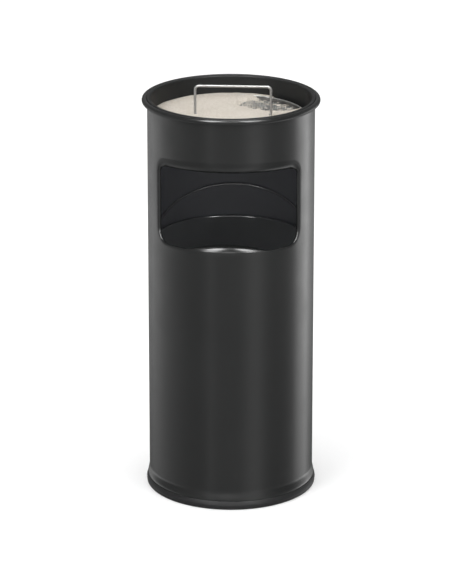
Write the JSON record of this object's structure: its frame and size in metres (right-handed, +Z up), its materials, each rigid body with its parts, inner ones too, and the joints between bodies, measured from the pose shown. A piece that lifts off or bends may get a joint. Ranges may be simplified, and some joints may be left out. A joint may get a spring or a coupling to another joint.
{
  "type": "ashtray bin",
  "caption": "Round black steel litter bin with a front throw-in opening, a hanging sand ash bowl with lift-out sieve, and an inner liner with a wire bail.",
  "frame": {"origin": "on the floor, at the centre of the foot ring", "axes": "+Z up along the bin, -Y out of the throw-in opening, +X to the right seen from the front"},
  "size_m": [0.2699, 0.27, 0.6375],
  "materials": {
    "black_powder_coat": "satin black powder coat",
    "black_plastic": "satin moulded plastic",
    "liner_paint": "gloss black paint",
    "silver_sand": "loose fine sand",
    "zinc_sheet": "zinc-plated sheet",
    "bright_wire": "bright drawn wire",
    "bail_wire": "black painted wire"
  },
  "bodies": {
    "root": {"outer_shell": "black_powder_coat", "base_pan": "black_powder_coat", "foot_ring": "black_plastic"},
    "ash_bowl": {"ash_bowl": "black_powder_coat", "sand_bed": "silver_sand"},
    "sieve": {"sieve_plate": "zinc_sheet", "sieve_handle": "bright_wire", "sand_on_sieve": "silver_sand"},
    "liner": {"inner_liner": "liner_paint", "liner_bottom": "liner_paint", "liner_ear_left": "liner_paint", "liner_ear_right": "liner_paint", "liner_ear_rivets": "zinc_sheet"},
    "bail": {"liner_bail": "bail_wire"}
  },
  "joints": [
    {"name": "ash_bowl_lift", "type": "slide", "parent": "root", "child": "ash_bowl", "axis": [0, 0, 1], "range_m": [0, 0.7]},
    {"name": "sieve_lift", "type": "slide", "parent": "ash_bowl", "child": "sieve", "axis": [0, 0, 1], "range_m": [0, 0.08]},
    {"name": "liner_lift", "type": "slide", "parent": "root", "child": "liner", "axis": [0, 0, 1], "range_m": [0, 0.602]},
    {"name": "bail_swing", "type": "hinge", "parent": "liner", "child": "bail", "pos_m": [0, 0.0035, 0.38], "axis": [1, 0, 0], "range_deg": [0, 110]}
  ],
  "couplings": [
    {"joint": "liner_lift", "follows": "ash_bowl_lift", "ratio": 0.86}
  ]
}
